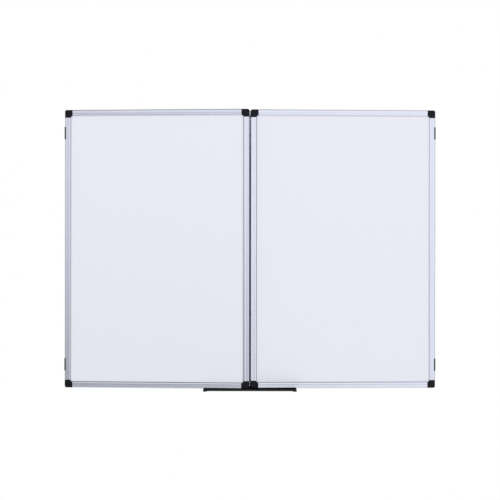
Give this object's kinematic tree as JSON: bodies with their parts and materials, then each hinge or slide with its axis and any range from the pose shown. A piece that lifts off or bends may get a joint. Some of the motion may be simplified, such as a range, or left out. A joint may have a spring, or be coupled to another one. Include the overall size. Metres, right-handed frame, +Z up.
{
  "type": "folding whiteboard",
  "caption": "Wall-mounted folding whiteboard: a framed main board, hinged framed wings with writing faces on both sides, and a pen tray that slides under the main board.",
  "frame": {"origin": "centre of the four wall fixings, on the back plane of the main board", "axes": "+X to the right as seen from the front, +Y into the wall, +Z up"},
  "size_m": [1.2058, 0.08, 0.9075],
  "materials": {
    "anodised_aluminium": "satin anodised, with fine lines along the extrusion",
    "white_lacquered_steel": "smooth lacquer, semi-gloss",
    "core_board": "paper honeycomb",
    "zinc_sheet": "zinc coated, matt",
    "hinge_steel": "dull zinc plated",
    "cap_plastic": "moulded, satin",
    "tray_plastic": "extruded, satin",
    "slider_plastic": "moulded, smooth"
  },
  "bodies": {
    "main_board": {"main_top_rail": "anodised_aluminium", "main_bottom_rail": "anodised_aluminium", "main_left_stile": "anodised_aluminium", "main_right_stile": "anodised_aluminium", "main_top_left_corner": "cap_plastic", "main_top_right_corner": "cap_plastic", "main_bottom_left_corner": "cap_plastic", "main_bottom_right_corner": "cap_plastic", "main_screw_covers": "cap_plastic", "main_writing_sheet": "white_lacquered_steel", "main_core_board": "core_board", "main_backing_sheet": "zinc_sheet", "left_upper_fixed_leaf": "hinge_steel", "left_lower_fixed_leaf": "hinge_steel", "right_upper_fixed_leaf": "hinge_steel", "right_lower_fixed_leaf": "hinge_steel", "left_upper_hinge_pin": "hinge_steel", "left_lower_hinge_pin": "hinge_steel", "right_upper_hinge_pin": "hinge_steel", "right_lower_hinge_pin": "hinge_steel", "main_hinge_rivets": "hinge_steel"},
    "left_wing": {"left_wing_top_rail": "anodised_aluminium", "left_wing_bottom_rail": "anodised_aluminium", "left_wing_left_stile": "anodised_aluminium", "left_wing_right_stile": "anodised_aluminium", "left_wing_top_left_corner": "cap_plastic", "left_wing_top_right_corner": "cap_plastic", "left_wing_bottom_left_corner": "cap_plastic", "left_wing_bottom_right_corner": "cap_plastic", "left_wing_screw_covers": "cap_plastic", "left_wing_front_sheet": "white_lacquered_steel", "left_wing_core_board": "core_board", "left_wing_rear_sheet": "white_lacquered_steel", "left_upper_moving_leaf": "hinge_steel", "left_lower_moving_leaf": "hinge_steel", "left_wing_hinge_rivets": "hinge_steel"},
    "right_wing": {"right_wing_top_rail": "anodised_aluminium", "right_wing_bottom_rail": "anodised_aluminium", "right_wing_left_stile": "anodised_aluminium", "right_wing_right_stile": "anodised_aluminium", "right_wing_top_left_corner": "cap_plastic", "right_wing_top_right_corner": "cap_plastic", "right_wing_bottom_left_corner": "cap_plastic", "right_wing_bottom_right_corner": "cap_plastic", "right_wing_screw_covers": "cap_plastic", "right_wing_front_sheet": "white_lacquered_steel", "right_wing_core_board": "core_board", "right_wing_rear_sheet": "white_lacquered_steel", "right_upper_moving_leaf": "hinge_steel", "right_lower_moving_leaf": "hinge_steel", "right_wing_hinge_rivets": "hinge_steel"},
    "pen_tray": {"tray_channel": "tray_plastic", "tray_left_cap": "tray_plastic", "tray_right_cap": "tray_plastic", "tray_sliders": "slider_plastic", "tray_screws": "hinge_steel"}
  },
  "joints": [
    {"name": "left_wing_hinge", "type": "hinge", "parent": "main_board", "child": "left_wing", "pos_m": [-0.601, -0.017, 0], "axis": [0, 0, -1], "range_deg": [-3.5, 176.5]},
    {"name": "right_wing_hinge", "type": "hinge", "parent": "main_board", "child": "right_wing", "pos_m": [0.601, -0.017, 0], "axis": [0, 0, 1], "range_deg": [-2.2, 177.8]},
    {"name": "tray_slide", "type": "slide", "parent": "main_board", "child": "pen_tray", "axis": [1, 0, 0], "range_m": [-0.42, 0.42]}
  ]
}
